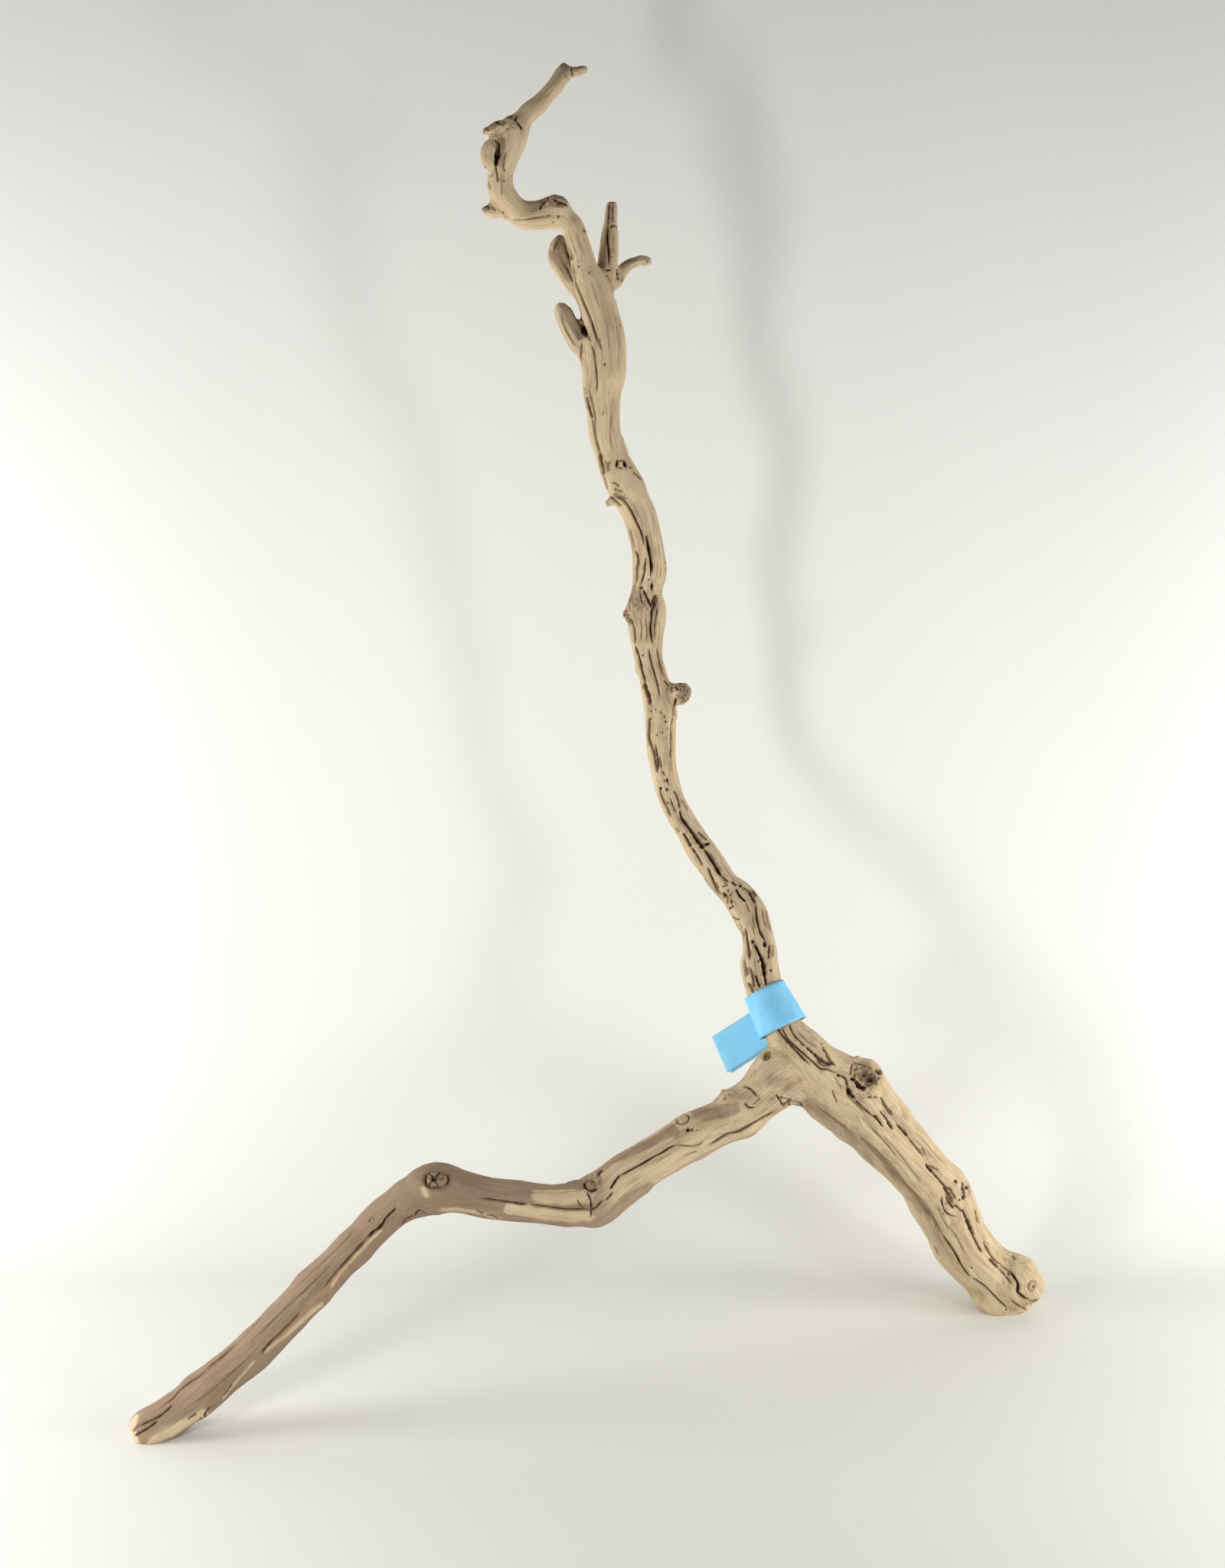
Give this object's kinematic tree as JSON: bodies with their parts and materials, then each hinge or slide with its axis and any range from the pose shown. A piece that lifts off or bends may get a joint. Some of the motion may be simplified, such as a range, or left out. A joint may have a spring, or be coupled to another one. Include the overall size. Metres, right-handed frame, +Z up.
{
  "type": "driftwood branch",
  "caption": "Weathered vine driftwood branch: a twisting stem with broken twigs rising from a fork of two sawn-off legs that it stands on, with a plain paper price band looped round the stem.",
  "frame": {"origin": "middle of the bounding box at floor level, between the two feet", "axes": "+Z up along the stem, +X from the long left leg to the thick right leg, -Y towards the side the picture shows"},
  "size_m": [0.6854, 0.2594, 0.954],
  "materials": {
    "weathered_wood": "matte",
    "blue_paper": "matte"
  },
  "bodies": {
    "root": {"driftwood": "weathered_wood", "paper_tag": "blue_paper"}
  },
  "joints": []
}
